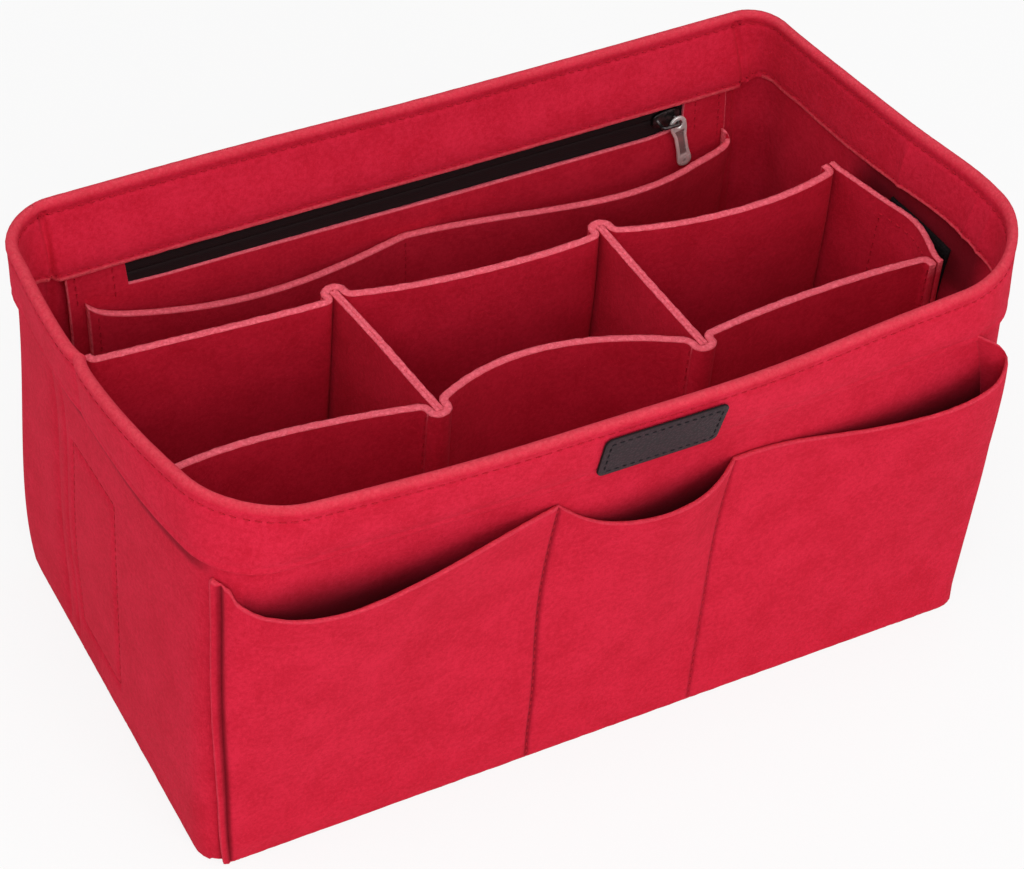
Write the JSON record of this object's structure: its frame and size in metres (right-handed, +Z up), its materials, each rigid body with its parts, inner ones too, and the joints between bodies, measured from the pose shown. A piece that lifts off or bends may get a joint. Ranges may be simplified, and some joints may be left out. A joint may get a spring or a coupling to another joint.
{
  "type": "bag organizer insert",
  "caption": "Open-topped felt organizer for a handbag, with a folded rim band, scooped front pockets, a zipped and slip pockets inside, and a lift-out divider.",
  "frame": {"origin": "middle of the base's underside", "axes": "+X to the right along the length, -Y towards the front with the outer pockets, +Z up"},
  "size_m": [0.3194, 0.1769, 0.165],
  "materials": {
    "felt_outer": "pressed felt, soft matt nap",
    "felt_band": "pressed felt, folded over the rim and stitched",
    "felt_lining": "pressed felt, soft matt nap",
    "felt_divider": "pressed felt with raw cut edges",
    "zip_tape": "fine woven tape",
    "zip_coil": "nylon coil",
    "nickel": "nickel plate, lightly brushed by use",
    "label_leather": "charcoal leather, plain",
    "hook_loop": "hook-and-loop tape"
  },
  "bodies": {
    "shell": {"bottom_panel": "felt_outer", "front_panel": "felt_outer", "right_panel": "felt_outer", "back_panel": "felt_outer", "left_panel": "felt_outer", "rim_band_front": "felt_band", "rim_band_right": "felt_band", "rim_band_back": "felt_band", "rim_band_left": "felt_band", "front_pocket_panel": "felt_outer", "zip_pocket_panel": "felt_lining", "slip_pocket_panel": "felt_lining", "zip_tape_upper": "zip_tape", "zip_tape_lower": "zip_tape", "zip_coil_upper": "zip_coil", "zip_coil_lower": "zip_coil", "label_patch": "label_leather", "loop_patch_left": "hook_loop", "loop_patch_right": "hook_loop"},
    "slider": {"zip_slider": "nickel"},
    "pull": {"zip_pull": "nickel"},
    "divider": {"divider_back_wall_left": "felt_divider", "divider_back_wall_middle": "felt_divider", "divider_back_wall_right": "felt_divider", "divider_front_wall_left": "felt_divider", "divider_front_wall_middle": "felt_divider", "divider_front_wall_right": "felt_divider", "divider_cross_wall_left_a": "felt_divider", "divider_cross_wall_left_b": "felt_divider", "divider_cross_wall_right_a": "felt_divider", "divider_cross_wall_right_b": "felt_divider", "divider_end_wall_left": "felt_divider", "divider_end_wall_right": "felt_divider", "hook_patch_left": "hook_loop", "hook_patch_right": "hook_loop"}
  },
  "joints": [
    {"name": "zip_slide", "type": "slide", "parent": "shell", "child": "slider", "axis": [1, 0, 0], "range_m": [-0.198, 0]},
    {"name": "pull_swing", "type": "hinge", "parent": "slider", "child": "pull", "pos_m": [0.10251, 0.07223, 0.1275], "axis": [0, -1, 0], "range_deg": [-60, 95]},
    {"name": "divider_lift", "type": "slide", "parent": "shell", "child": "divider", "axis": [0, 0, 1], "range_m": [0, 0.2]}
  ]
}
